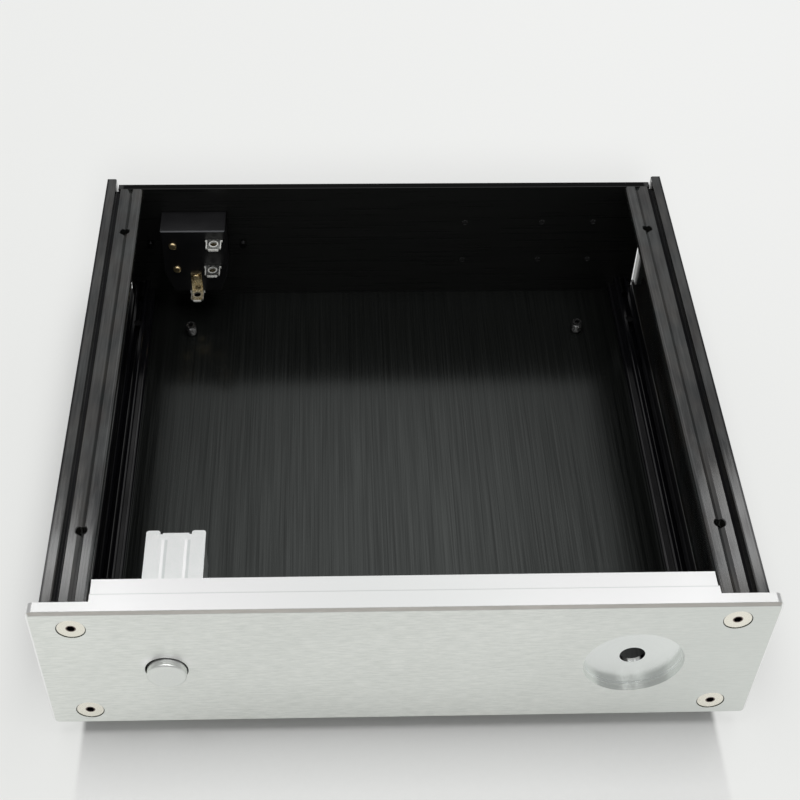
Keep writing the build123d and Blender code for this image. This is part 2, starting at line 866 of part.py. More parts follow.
def earth_pin():
    """Earth pin with the brass plate on the inner face and the lowest blade tab."""
    x, z = rivet_places()["earth"]
    tab_z = mid_z - inlet_bottom + tab_thickness / 2
    head = rivet_head(x, z).moved(Pos(0, -tab_thickness, 0))
    plate = root_plate(x, z, tab_z)
    return riveted_pin("earth") + plate + head + blade_tab(x, tab_z, earth_tab_width)


def fuse_contact(x):
    """Leaf on the slot's end wall whose curved nose touches the fuse's cap."""
    z = fuse_z()
    leaf = box(
        x - contact_width / 2,
        x + contact_width / 2,
        slot_end,
        slot_end + contact_thickness,
        z - contact_height / 2 + fuse_lift,
        z + contact_height / 2 + fuse_lift,
    )
    nose_reach = fuse_y - fuse_radius - seat_gap - slot_end
    nose = Pos(x, slot_end, z) * Rot(0, 90, 0) * Cylinder(nose_reach, contact_width)
    nose &= box(-half_width, half_width, slot_end, case_depth, 0, case_height)
    return leaf + nose + rod(x, z, rivet_shank, inlet_in, slot_end)


def fuse_supply_contact():
    """Contact at the fuse's left cap, riveted over on the inner face."""
    x = contact_places()["supply"]
    return fuse_contact(x) + rivet_head(x, fuse_z())


def fuse_load_tab():
    """Contact at the fuse's right cap, with its blade tab inside the case."""
    x = contact_places()["load"]
    tab_z = fuse_z() + load_tab_rise
    return fuse_contact(x) + root_plate(x, fuse_z(), tab_z) + blade_tab(x, tab_z, tab_width)


def fuse_drawer():
    """Drawer with a face, a floor, two sides and two cradles for the fuse."""
    half = slot_width / 2 - drawer_gap
    low = slot_z - slot_height / 2 + drawer_gap
    high = slot_z + slot_height / 2 - drawer_gap
    back_of_face = inlet_out - drawer_face + seat_gap
    face = slot_outline(drawer_face_lap - drawer_gap)
    drawer = along_depth(face, back_of_face, inlet_out)
    drawer = chamfer(drawer.faces().sort_by(Axis.Y)[-1].edges(), drawer_face_bevel)
    tray_front = back_of_face - drawer_tray
    drawer += box(inlet_x - half, inlet_x + half, tray_front, back_of_face, low, low + drawer_wall)
    for side in (-1, 1):
        outer = inlet_x + side * half
        inner = outer - side * drawer_wall
        drawer += box(outer, inner, tray_front, back_of_face, low, high)
        cradle_x = inlet_x + side * (fuse_length / 2 - fuse_cap_length - cradle_inset)
        drawer += box(
            cradle_x - cradle_thickness / 2,
            cradle_x + cradle_thickness / 2,
            fuse_y - fuse_radius,
            fuse_y + fuse_radius,
            low,
            fuse_z() - fuse_radius * 0.4,
        )
    fuse_space = Pos(inlet_x, fuse_y, fuse_z()) * Rot(0, 90, 0)
    drawer -= fuse_space * Cylinder(fuse_radius + seat_gap, fuse_length + slide_gap)
    notch = Pos(inlet_x, inlet_out, low) * Cylinder(thumb_notch_radius, 2 * thumb_notch_depth)
    return drawer - notch


def fuse_tube():
    """Glass tube of the fuse, open at both ends inside its caps."""
    place = Pos(inlet_x, fuse_y, fuse_z()) * Rot(0, 90, 0)
    outer = fuse_radius - fuse_cap_wall - seat_gap
    length = fuse_length - 2 * (fuse_cap_wall + seat_gap)
    return place * (Cylinder(outer, length) - Cylinder(outer - glass_wall, length))


def fuse_caps():
    """Two metal end caps of the fuse."""
    caps = []
    for side in (-1, 1):
        middle = side * (fuse_length - fuse_cap_length) / 2
        place = Pos(inlet_x + middle, fuse_y, fuse_z()) * Rot(0, 90, 0)
        hollow = Pos(0, 0, -side * fuse_cap_wall)
        cap = Cylinder(fuse_radius, fuse_cap_length)
        cap -= hollow * Cylinder(fuse_radius - fuse_cap_wall, fuse_cap_length)
        caps.append(place * cap)
    return join(caps)


def inlet_screws():
    """Two countersunk screws that hold the inlet, their ends standing inside the back panel."""
    length = flange_plate + back_thickness + inlet_screw_stand
    screw = countersunk_screw(m3_head, m3_tapped - seat_gap, length, m3_countersink, m3_hex)
    return join([rear_turn(x, inlet_out, mid_z) * screw for x in inlet_screw_x()])


def save(name, part):
    """Move a piece from case coordinates to the ground's frame and write it."""
    placed = part.moved(Pos(0, -depth_middle, foot_height))
    export_step(placed, os.path.join("parts", name + ".step"))


def main():
    os.makedirs("parts", exist_ok=True)
    rail = right_side_rail()
    save("front_panel", front_panel())
    save("right_side_rail", rail)
    save("left_side_rail", mirrored(rail))
    save("floor_plate", floor_plate())
    save("back_panel", back_panel())
    save("front_panel_screws", front_panel_screws())
    save("back_panel_screws", back_panel_screws())
    save("floor_plate_screws", floor_plate_screws())
    save("front_left_foot", foot(-foot_x, foot_y[0]))
    save("front_right_foot", foot(foot_x, foot_y[0]))
    save("rear_left_foot", foot(-foot_x, foot_y[1]))
    save("rear_right_foot", foot(foot_x, foot_y[1]))
    save("foot_screws", foot_screws())
    save("switch_frame", switch_frame())
    save("switch_body", switch_body())
    save("switch_terminals", switch_terminals())
    save("switch_screws", switch_screws())
    save("switch_plunger", switch_plunger())
    save("power_button", power_button())
    save("inlet_housing", inlet_housing())
    save("inlet_screws", inlet_screws())
    save("line_pin", line_pin())
    save("neutral_pin", neutral_pin())
    save("earth_pin", earth_pin())
    save("fuse_supply_contact", fuse_supply_contact())
    save("fuse_load_tab", fuse_load_tab())
    save("fuse_drawer", fuse_drawer())
    save("fuse_tube", fuse_tube())
    save("fuse_caps", fuse_caps())


main()
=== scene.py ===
"""Looks of an open amplifier chassis: silver front panel, black anodised rails and plates."""
import bpy
import numpy as np
from mathutils import Matrix, Vector


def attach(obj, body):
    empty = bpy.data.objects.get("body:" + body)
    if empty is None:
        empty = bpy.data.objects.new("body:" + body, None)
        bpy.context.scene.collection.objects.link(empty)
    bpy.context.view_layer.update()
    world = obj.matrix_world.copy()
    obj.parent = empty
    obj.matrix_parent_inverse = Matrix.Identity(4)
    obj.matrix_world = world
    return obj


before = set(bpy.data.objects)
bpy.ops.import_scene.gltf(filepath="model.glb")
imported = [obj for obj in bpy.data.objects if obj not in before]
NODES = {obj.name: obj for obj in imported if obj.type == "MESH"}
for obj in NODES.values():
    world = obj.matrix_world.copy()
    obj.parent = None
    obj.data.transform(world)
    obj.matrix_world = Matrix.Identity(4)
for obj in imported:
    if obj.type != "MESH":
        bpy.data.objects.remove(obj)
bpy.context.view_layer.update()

MM = 0.001
FRONT_FACE_Y = -109.25      # the case's front face and lower edge in the shared frame, in mm
LOWER_EDGE_Z = 8.0

# Places on the case in mm: X from its middle, Y from the front face, Z from the lower edge
HALF_WIDTH = 120.0
MID_Z = 32.5
PANEL_TOP = 65.0
PANEL_CHAMFER = 1.0
LEDGE_DROP = 7.0            # the top's satin starts about this far below its upper edge
STRIP_DEPTH = 7.6
CORNER_SCREW_X = 106.4
CORNER_SCREW_RISE = 24.1
SCREW_HEAD = 4.5
SCREW_COUNTERSINK = 4.8
HEX_CORNER = 1.45
KNOB_X = 76.3
KNOB_RECESS = 16.8
KNOB_FLOOR_Y = 3.2
KNOB_BORE = 4.3
GROOVE_IN = 110.8           # edges of the rails' groove beside the ridge
GROOVE_OUT = 112.1
RAIL_OUT = 115.8
CHANNEL_SHADE_TOP = 34.0    # the rails' inner side grows dimmer from this height down to the next
CHANNEL_SHADE_LOW = 22.0
BUTTON_X = -78.1
RIB_SPREAD = 4.0
RIB_FRONT = 14.0
RIB_REAR = 48.0
BUTTON_HOLE_X = -78.25
BUTTON_HOLE = 7.15
INLET_X = -81.0
INLET_FACE_Y = 202.8
INLET_TOP_Z = 49.6
TAB_TIP_Y = 195.8
NEUTRAL_TAB_X = -73.6
NEUTRAL_TAB_Z = 30.4
LOAD_TAB_X = -72.2
LOAD_TAB_Z = 44.9
EARTH_TAB_Z = 16.4
EARTH_TAB_HALF_WIDTH = 2.7
TAB_HOLE_Y = 199.8
TAB_HOLE = 1.5
TAB_HALF_WIDTH = 3.15
BRASS_START = 0.5           # brass starts this far above or below the middle of a tab
ROOT_DROP = 6.0             # a root plate ends within this distance below its tab
EARTH_ROOT_RISE = 12.0      # and the earth's within this distance above its own
RIVET_STAND = 1.9           # a rivet and the plate under it stand a little less than this
RIVET_REACH = 1.8           # brass reaches this far beside a tab's middle
EARTH_ROOT_REACH = 5.0
BACK_FACE_Y = 215.5
BACK_OUTER_Y = 218.5
BACK_HOLE_LIMIT = 110.0     # the small holes lie nearer the middle than this
FOOT_X = 84.0
FOOT_Y = (34.0, 190.0)
FOOT_THREAD = 4.7           # length of thread above the floor plate
INLET_SCREW_X = 20.0        # from the inlet's middle
INLET_THREAD = 2.4          # length of thread inside the back panel
PLATE_TOP = 3.0
WHITE = (1.0, 1.0, 1.0)

# Camera fitted to the photograph
CAMERA_PLACE = (-0.022673, -0.367804, 0.443696)
CAMERA_YAW = 2.379
CAMERA_PITCH = 46.572
CAMERA_ROLL = 1.184
FOCAL_PIXELS = 1424.6
MIDDLE_PIXEL = (373.87, 396.91)
PICTURE_PIXELS = 800
SENSOR = 36.0


def photo_camera():
    """Camera whose axes are yaw about Z, then pitch down, then roll about the view line."""
    yaw, pitch, roll = np.radians((CAMERA_YAW, CAMERA_PITCH, CAMERA_ROLL))
    forward = np.array((np.sin(yaw) * np.cos(pitch), np.cos(yaw) * np.cos(pitch), -np.sin(pitch)))
    level = np.array((np.cos(yaw), -np.sin(yaw), 0.0))
    upright = np.cross(level, forward)
    right = np.cos(roll) * level + np.sin(roll) * upright
    up = -np.sin(roll) * level + np.cos(roll) * upright
    turn = Matrix([list(row) for row in np.column_stack((right, up, -forward))])
    data = bpy.data.cameras.new("camera")
    data.sensor_width = SENSOR
    data.lens = FOCAL_PIXELS * SENSOR / PICTURE_PIXELS
    data.shift_x = (PICTURE_PIXELS / 2 - MIDDLE_PIXEL[0]) / PICTURE_PIXELS
    data.shift_y = -(PICTURE_PIXELS / 2 - MIDDLE_PIXEL[1]) / PICTURE_PIXELS
    data.clip_start = 0.01
    camera = bpy.data.objects.new("camera", data)
    camera.matrix_world = Matrix.Translation(Vector(CAMERA_PLACE)) @ turn.to_4x4()
    bpy.context.scene.collection.objects.link(camera)
    bpy.context.scene.camera = camera


class Reading:
    """A number that varies over a surface, worked out by the nodes of one material."""

    def __init__(self, tree, socket):
        self.tree = tree
        self.socket = socket

    def step(self, operation, *others, flip=False):
        """The result of one arithmetic node on this reading and other readings or numbers."""
        node = self.tree.nodes.new("ShaderNodeMath")
        node.operation = operation
        values = (*others, self) if flip else (self, *others)
        for place, value in zip(node.inputs, values):
            if isinstance(value, Reading):
                self.tree.links.new(value.socket, place)
            else:
                place.default_value = value
        return Reading(self.tree, node.outputs["Value"])

    def __add__(self, other):
        return self.step("ADD", other)

    def __sub__(self, other):
        return self.step("SUBTRACT", other)

    def __rsub__(self, other):
        return self.step("SUBTRACT", other, flip=True)

    def __mul__(self, other):
        return self.step("MULTIPLY", other)

    def __truediv__(self, other):
        return self.step("DIVIDE", other)

    def __abs__(self):
        return self.step("ABSOLUTE")

    def least(self, other):
        """The smaller of two."""
        return self.step("MINIMUM", other)

    def most(self, other):
        """The larger of two."""
        return self.step("MAXIMUM", other)

    def distance(self, other):
        """Length of the arrow whose two sides are this reading and another."""
        return (self * self + other * other).step("SQRT")

    def angle(self, other):
        """Angle of the arrow whose sides are this reading, up, and another, across."""
        return self.step("ARCTAN2", other)

    def rise(self, start, end):
        """0 before start and 1 after end, with a smooth step between; start may be above end."""
        node = self.tree.nodes.new("ShaderNodeMapRange")
        node.interpolation_type = "SMOOTHSTEP"
        node.inputs["From Min"].default_value = start
        node.inputs["From Max"].default_value = end
        self.tree.links.new(self.socket, node.inputs["Value"])
        return Reading(self.tree, node.outputs["Result"])

    def between(self, low, high, soft):
        """1 from low to high, fading to 0 over the soft distance outside them."""
        return self.rise(low - soft, low) * self.rise(high + soft, high)

    def blend(self, first, second):
        """From one number or reading to another as this reading goes from 0 to 1."""
        if isinstance(first, Reading) or isinstance(second, Reading):
            return self * second + (1 - self) * first
        return self * (second - first) + first

    def colour(self, first, second):
        """From one colour to another, each a triple or a colour socket."""
        node = self.tree.nodes.new("ShaderNodeMix")
        node.data_type = "RGBA"
        self.tree.links.new(self.socket, node.inputs["Factor"])
        for place, value in ((node.inputs[6], first), (node.inputs[7], second)):
            if isinstance(value, tuple):
                place.default_value = (*value, 1)
            else:
                self.tree.links.new(value, place)
        return node.outputs[2]


class Surface:
    """A material with its Principled shader, and the place on the case as three readings in mm."""

    def __init__(self, name, metal, anisotropy=0.0, index=1.5):
        self.material = bpy.data.materials.new(name)
        self.material.use_nodes = True
        self.tree = self.material.node_tree
        self.shader = self.tree.nodes["Principled BSDF"]
        self.shader.inputs["Metallic"].default_value = metal
        self.shader.inputs["Anisotropic"].default_value = anisotropy
        self.shader.inputs["IOR"].default_value = index
        coordinates = self.tree.nodes.new("ShaderNodeTexCoord")
        split = self.tree.nodes.new("ShaderNodeSeparateXYZ")
        self.tree.links.new(coordinates.outputs["Object"], split.inputs["Vector"])
        metres = [Reading(self.tree, split.outputs[axis]) for axis in "XYZ"]
        self.x = metres[0] / MM
        self.y = metres[1] / MM - FRONT_FACE_Y
        self.z = metres[2] / MM - LOWER_EDGE_Z

    def arrow(self, *sides):
        """Vector from three readings or numbers."""
        node = self.tree.nodes.new("ShaderNodeCombineXYZ")
        for place, value in zip(node.inputs, sides):
            if isinstance(value, Reading):
                self.tree.links.new(value.socket, place)
            else:
                place.default_value = value
        return node.outputs["Vector"]

    def grain(self, *sides, detail=3.0, rough=0.55):
        """Noise from 0 to 1 whose cells are one unit long on each of three readings."""
        node = self.tree.nodes.new("ShaderNodeTexNoise")
        node.inputs["Scale"].default_value = 1.0
        node.inputs["Detail"].default_value = detail
        node.inputs["Roughness"].default_value = rough
        self.tree.links.new(self.arrow(*sides), node.inputs["Vector"])
        return Reading(self.tree, node.outputs["Fac"]).rise(0.28, 0.72)

    def fine_grain(self, *cells_per_mm, detail=3.0, rough=0.55):
        """Noise over the case, with so many cells per mm along X, Y and Z."""
        sides = [place * cells for place, cells in zip((self.x, self.y, self.z), cells_per_mm)]
        return self.grain(*sides, detail=detail, rough=rough)

    def spangle(self, cells_per_mm):
        """A flat random number for each small crystal, from 0 to 1."""
        node = self.tree.nodes.new("ShaderNodeTexVoronoi")
        node.inputs["Scale"].default_value = cells_per_mm
        self.tree.links.new(self.arrow(self.x, self.y, self.z), node.inputs["Vector"])
        split = self.tree.nodes.new("ShaderNodeSeparateColor")
        self.tree.links.new(node.outputs["Color"], split.inputs["Color"])
        return Reading(self.tree, split.outputs["Red"])

    def paint(self, colour):
        """Base colour from a colour socket."""
        self.tree.links.new(colour, self.shader.inputs["Base Color"])

    def polish(self, roughness):
        """Roughness from a reading."""
        self.tree.links.new(roughness.socket, self.shader.inputs["Roughness"])

    def gloss(self, level):
        """Strength of the surface's clear reflection from a reading; 0.5 is what its index gives."""
        self.tree.links.new(level.socket, self.shader.inputs["Specular IOR Level"])

    def emboss(self, height, millimetres):
        """Bump whose full height is a small distance."""
        node = self.tree.nodes.new("ShaderNodeBump")
        node.inputs["Distance"].default_value = millimetres * MM
        self.tree.links.new(height.socket, node.inputs["Height"])
        self.tree.links.new(node.outputs["Normal"], self.shader.inputs["Normal"])

    def brushed_across(self, *sides):
        """Direction in which the gloss is drawn out, across the brush marks."""
        self.tree.links.new(self.arrow(*sides), self.shader.inputs["Tangent"])


def corner_screw_distance(surface):
    """Distance from the axis of the nearest of the four corner screws."""
    across = abs(surface.x) - CORNER_SCREW_X
    up = abs(surface.z - MID_Z) - CORNER_SCREW_RISE
    return across.distance(up)


def brushed_face(silver, marks):
    """Brushed colour of the panel's front, with painted shade making it a little dimmer toward its
    right end.
    """
    fine = silver.fine_grain(0.7, 7.0, 7.0, detail=2.0)
    cloud = silver.fine_grain(0.03, 0.05, 0.05, detail=2.0)
    tone = marks * 0.7 + fine * 0.15 + cloud * 0.15
    brushed = tone.colour((0.735, 0.760, 0.725), (0.960, 0.975, 0.940))
    # painted shade: the face darkens toward its right end
    return (silver.x.rise(35.0, 110.0) * 0.6).colour(brushed, (0.68, 0.705, 0.680))


def satin_top(silver):
    """Satin colour of the strip and the ledge, with painted light: paler off the middle, dimmer at the
    ends, and a painted shade line along the step.
    """
    side = abs(silver.x)
    # painted light: paler from the middle outward, then painted shade dimming the ends
    satin = side.rise(10.0, 70.0).colour((0.960, 0.975, 0.965), WHITE)
    satin = side.rise(90.0, 112.0).colour(satin, (0.880, 0.885, 0.875))
    # painted shade: a grey line along the step between strip and ledge
    step_shade_line = silver.y.between(STRIP_DEPTH - 0.25, STRIP_DEPTH + 0.15, 0.25)
    return (step_shade_line * 0.55).colour(satin, (0.62, 0.64, 0.63))


def chamfered(silver, face):
    """The face's colour, with a warmer, darker painted reflection on the upper chamfer and a painted
    white highlight on the two end ones.
    """
    in_front = silver.y.rise(PANEL_CHAMFER, PANEL_CHAMFER - 0.2)
    top = PANEL_TOP - PANEL_CHAMFER
    upper = silver.z.rise(top, top + 0.2) * in_front
    # painted reflection: the upper chamfer is tinted warmer and darker
    face = (upper * 0.6).colour(face, (0.80, 0.74, 0.67))
    end = HALF_WIDTH - PANEL_CHAMFER
    # painted highlight: the two end chamfers are white
    return (abs(silver.x).rise(end, end + 0.2) * in_front).colour(face, WHITE)


def hole_shade(silver, knob_distance, button_distance, up):
    """Shade from 0 to 1 in the knob's bore, the button's hole and, fainter, round the corner screws."""
    bore = knob_distance.rise(KNOB_BORE + 0.3, KNOB_BORE + 0.1)
    bore = bore * silver.y.rise(KNOB_FLOOR_Y + 0.05, KNOB_FLOOR_Y + 0.3)
    bore = bore * up.rise(-KNOB_BORE + 0.9, -KNOB_BORE + 1.8)
    button_wall = button_distance.rise(BUTTON_HOLE + 0.3, BUTTON_HOLE + 0.1) * silver.y.rise(0.1, 0.5)
    sink = corner_screw_distance(silver).rise(SCREW_COUNTERSINK + 0.2, SCREW_COUNTERSINK + 0.02)
    sink = sink * silver.y.rise(0.02, 0.1)
    return bore.most(button_wall).most(sink * 0.35)


def front_panel_finish():
    """Brushed silver: short broken marks from side to side, a turned knob recess, painted shade on the
    hole walls, painted light above the button.
    """
    silver = Surface("brushed_silver_panel", 1.0, anisotropy=0.5)
    across = silver.x - KNOB_X
    up = silver.z - MID_Z
    radius = across.distance(up)
    in_recess = radius.rise(KNOB_RECESS + 0.1, KNOB_RECESS - 0.1)
    in_recess = in_recess * silver.y.between(0.35, KNOB_FLOOR_Y + 0.6, 0.3)
    on_floor = in_recess * silver.y.rise(KNOB_FLOOR_Y - 0.3, KNOB_FLOOR_Y - 0.1)
    on_top = silver.y.rise(PANEL_CHAMFER - 0.1, PANEL_CHAMFER + 0.1)
    on_top = on_top * silver.z.rise(PANEL_TOP - LEDGE_DROP - 1.0, PANEL_TOP - LEDGE_DROP + 1.0)
    marks = silver.fine_grain(0.18, 1.2, 1.2, detail=5.0, rough=0.7)
    rings = silver.grain(radius * 3.2, up.angle(across) * 0.6, 0.0, detail=3.0)
    wall_lines = silver.grain(silver.y * 3.0, radius * 0.5, 0.0, detail=2.0)
    face = chamfered(silver, on_top.colour(brushed_face(silver, marks), satin_top(silver)))
    wall = wall_lines.colour((0.80, 0.82, 0.80), (0.93, 0.95, 0.93))
    turned = rings.colour((0.84, 0.865, 0.85), (0.88, 0.905, 0.89))
    colour = on_floor.colour(in_recess.colour(face, wall), turned)
    button_distance = (silver.x - BUTTON_HOLE_X).distance(up)
    # painted light: the panel just above the button is brightened toward white
    painted_light_above_button = button_distance.rise(BUTTON_HOLE + 3.5, BUTTON_HOLE) * up.rise(1.0, 6.0)
    colour = (painted_light_above_button * silver.y.rise(0.3, 0.1)).colour(colour, WHITE)
    shade = hole_shade(silver, radius, button_distance, up)
    silver.paint(shade.colour(colour, (0.012, 0.012, 0.022)))
    silver.polish(on_floor.blend(on_top.blend(marks.blend(0.29, 0.35), 0.29), rings.blend(0.20, 0.26)))
    silver.emboss(on_floor.blend(marks * (1 - on_top), rings * 0.5), 0.003)
    flat = 1 - on_floor
    silver.brushed_across(on_floor * across, flat * 10.0, flat * 10.0 + on_floor * up)
    return silver.material


def rail_finish():
    """Black anodised extrusion: die lines along the depth and cloudy patches in the gloss, with painted
    shade in the groove, on the outer edge and low on the inner side.
    """
    rail = Surface("anodised_rail", 0.0, index=1.7)
    lines = rail.fine_grain(3.0, 0.012, 3.0, detail=3.0)
    cloud = rail.fine_grain(0.6, 0.07, 0.6, detail=4.0, rough=0.6)
    patches = rail.fine_grain(0.06, 0.035, 0.06, detail=2.0)
    tint = rail.fine_grain(0.12, 0.09, 0.12, detail=3.0)
    tone = lines * 0.3 + cloud * 0.35 + patches * 0.35
    dark = tint.colour((0.0085, 0.0105, 0.0115), (0.0115, 0.0095, 0.0110))
    pale = tint.colour((0.0200, 0.0235, 0.0225), (0.0270, 0.0250, 0.0190))
    side = abs(rail.x)
    groove = side.between(GROOVE_IN + 0.1, GROOVE_OUT - 0.1, 0.1)
    groove = groove * rail.z.rise(PANEL_TOP - 0.1, PANEL_TOP - 0.7)
    lower_channel = side.rise(GROOVE_OUT - 0.1, GROOVE_OUT - 1.1)
    lower_channel = lower_channel * rail.z.rise(CHANNEL_SHADE_TOP, CHANNEL_SHADE_LOW)
    outer_edge = side.rise(RAIL_OUT - 0.9, RAIL_OUT - 0.5)
    # painted shade: groove, outer edge and low inner side are near black, with less gloss
    shaded = groove.most(outer_edge).most(lower_channel)
    rail.paint(shaded.colour(tone.colour(dark, pale), (0.003, 0.003, 0.004)))
    dim = (1 - groove * 0.8) * (1 - lower_channel * 0.5) * (1 - outer_edge * 0.6)
    rail.gloss(tone.blend(0.35, 1.15).least(1.0) * dim)
    rail.polish((cloud * 0.6 + lines * 0.4).blend(0.08, 0.15))
    rail.emboss(lines * 0.7 + cloud * 0.3, 0.002)
    return rail.material


def floor_finish():
    """Black anodised plate, satin brushed from front to back, with painted shade in its gloss toward
    the rear and the sides.
    """
    plate = Surface("brushed_black_floor", 0.0, anisotropy=0.3, index=1.7)
    strokes = plate.fine_grain(1.4, 0.006, 1.4, detail=3.0, rough=0.7)
    short = plate.fine_grain(2.0, 0.020, 2.0, detail=2.0)
    tone = strokes * 0.5 + short * 0.5
    plate.paint(tone.colour((0.0030, 0.0034, 0.0032), (0.0074, 0.0080, 0.0074)))
    # painted shade: the gloss is weakened toward the rear and the sides
    dim = 1 - plate.y.rise(70.0, 150.0) * 0.22 - plate.y.rise(150.0, 182.0) * 0.25
    dim = dim - abs(plate.x).rise(20.0, 100.0) * 0.18
    plate.gloss(tone.blend(0.30, 0.70) * dim)
    plate.polish(tone.blend(0.15, 0.23))
    plate.emboss(strokes, 0.002)
    plate.brushed_across(1.0, 0.0, 1.0)
    plate.shader.inputs["Specular Tint"].default_value = (0.94, 1.0, 0.97, 1)
    return plate.material


def back_finish():
    """Black anodised plate, brushed from side to side, with painted shade inside its small holes."""
    plate = Surface("brushed_black_back", 0.0, index=1.6)
    strokes = plate.fine_grain(0.02, 1.6, 1.6, detail=4.0, rough=0.6)
    in_hole = plate.y.between(BACK_FACE_Y + 0.3, BACK_OUTER_Y - 0.3, 0.1)
    in_hole = in_hole * abs(plate.x).rise(BACK_HOLE_LIMIT, BACK_HOLE_LIMIT - 1.0)
    lit = strokes.colour((0.0045, 0.0048, 0.0045), (0.0075, 0.0078, 0.0072))
    # painted shade: black and nearly without gloss inside the small holes
    plate.paint(in_hole.colour(lit, (0.001, 0.001, 0.001)))
    plate.gloss(in_hole.blend(0.5, 0.05))
    plate.polish(strokes.blend(0.26, 0.38))
    plate.emboss(strokes, 0.003)
    return plate.material


def nickel_head_finish():
    """Satin nickel of the front screws: fine turned rings, brownish round the hex socket, with painted
    shade inside it and round the rim.
    """
    nickel = Surface("nickel_screw_heads", 1.0)
    radius = corner_screw_distance(nickel)
    rings = nickel.grain(radius * 4.0, nickel.y * 2.0, 0.0, detail=2.0)
    mottle = nickel.fine_grain(1.2, 1.2, 1.2)
    head = (rings * 0.5 + mottle * 0.5).colour((0.90, 0.865, 0.765), (0.98, 0.95, 0.86))
    socket = radius.rise(HEX_CORNER + 0.3, HEX_CORNER) * nickel.y.rise(0.25, 0.7)
    rim_shade = radius.rise(SCREW_HEAD - 0.06, SCREW_HEAD - 0.01) * nickel.y.rise(0.15, 0.3)
    mouth = radius.rise(HEX_CORNER + 0.4, HEX_CORNER + 0.05)
    head = mouth.colour(head, (0.20, 0.15, 0.14))
    # painted shade: near black inside the hex socket and, fainter, in the gap round the head
    nickel.paint(socket.most(rim_shade * 0.35).colour(head, (0.022, 0.020, 0.022)))
    nickel.polish(mottle.blend(0.22, 0.32))
    nickel.emboss(mottle, 0.003)
    return nickel.material


def button_finish():
    """Satin turned cap: fine rings on the face, with painted shade where it lies inside the panel's
    hole.
    """
    cap = Surface("satin_power_button", 1.0)
    radius = (cap.x - BUTTON_X).distance(cap.z - MID_Z)
    rings = cap.grain(radius * 3.0, cap.y * 1.5, 0.0, detail=2.0)
    satin = cap.fine_grain(4.0, 4.0, 4.0, detail=2.0)
    face = (rings * 0.4 + satin * 0.6).colour((0.79, 0.81, 0.785), (0.86, 0.88, 0.85))
    inside = cap.y.rise(0.15, 0.9)
    # painted shade: dark where the cap lies inside the panel's hole
    cap.paint(inside.colour(face, (0.05, 0.05, 0.06)))
    cap.polish(satin.blend(0.36, 0.42))
    cap.emboss(satin, 0.002)
    return cap.material


def plain_metal(name, dark, light, rough, cells_per_mm):
    """Plated or stamped metal with a fine mottle."""
    metal = Surface(name, 1.0)
    mottle = metal.fine_grain(cells_per_mm, cells_per_mm, cells_per_mm, detail=4.0, rough=0.6)
    metal.paint(mottle.colour(dark, light))
    metal.polish(mottle.blend(*rough))
    metal.emboss(mottle, 0.004)
    return metal.material


def galvanised_finish():
    """Zinc-coated sheet: small crystals, each a little lighter or darker, with a fine sparkle, and a
    painted highlight and shade on the flanks of its two ribs.
    """
    zinc = Surface("galvanised_sheet", 1.0)
    crystals = zinc.spangle(1.6)
    sparkle = zinc.spangle(4.0)
    rolled = zinc.fine_grain(2.5, 0.25, 2.5)
    tone = crystals * 0.3 + sparkle * 0.4 + rolled * 0.3
    sheet = tone.colour((0.94, 0.975, 0.955), (1.0, 1.0, 1.0))
    left = zinc.x - (BUTTON_X - RIB_SPREAD)
    right = zinc.x - (BUTTON_X + RIB_SPREAD)
    along = zinc.y.between(RIB_FRONT, RIB_REAR, 0.8)
    # painted highlight on one flank of each rib and painted shade on the other
    lit = left.between(-0.65, 0.0, 0.25).most(right.between(-0.65, 0.0, 0.25)) * along
    rib_flank_shade = left.between(0.45, 1.1, 0.3).most(right.between(0.45, 1.1, 0.3)) * along
    sheet = (rib_flank_shade * 0.55).colour(sheet, (0.66, 0.70, 0.69))
    zinc.paint(lit.colour(sheet, WHITE))
    zinc.polish(lit.blend(tone.blend(0.29, 0.38), 0.48))
    zinc.emboss(sparkle * 0.5 + rolled * 0.5, 0.003)
    return zinc.material


def moulded_finish(name, dark, light, rough, relief=0.008):
    """Moulded plastic or rubber with a fine spark-eroded texture."""
    plastic = Surface(name, 0.0)
    pits = plastic.fine_grain(3.0, 3.0, 3.0)
    flow = plastic.fine_grain(0.1, 0.1, 0.1, detail=2.0)
    tone = pits * 0.6 + flow * 0.4
    plastic.paint(tone.colour(dark, light))
    plastic.polish(tone.blend(*rough))
    plastic.emboss(pits, relief)
    return plastic.material


def inlet_finish():
    """Black moulding with a fine texture and a painted highlight along its upper inner edge."""
    inlet = Surface("moulded_inlet", 0.0)
    pits = inlet.fine_grain(3.0, 3.0, 3.0)
    flow = inlet.fine_grain(0.1, 0.1, 0.1, detail=2.0)
    tone = pits * 0.6 + flow * 0.4
    # painted highlight: a paler line along the upper inner edge
    painted_edge_highlight = inlet.y.rise(INLET_FACE_Y + 0.6, INLET_FACE_Y + 0.35)
    painted_edge_highlight = painted_edge_highlight * inlet.z.rise(INLET_TOP_Z - 0.6, INLET_TOP_Z - 0.3)
    body = tone.colour((0.0035, 0.0035, 0.0042), (0.0080, 0.0080, 0.0090))
    inlet.paint(painted_edge_highlight.colour(body, (0.075, 0.078, 0.085)))
    inlet.polish(tone.blend(0.30, 0.44))
    inlet.emboss(pits, 0.008)
    return inlet.material


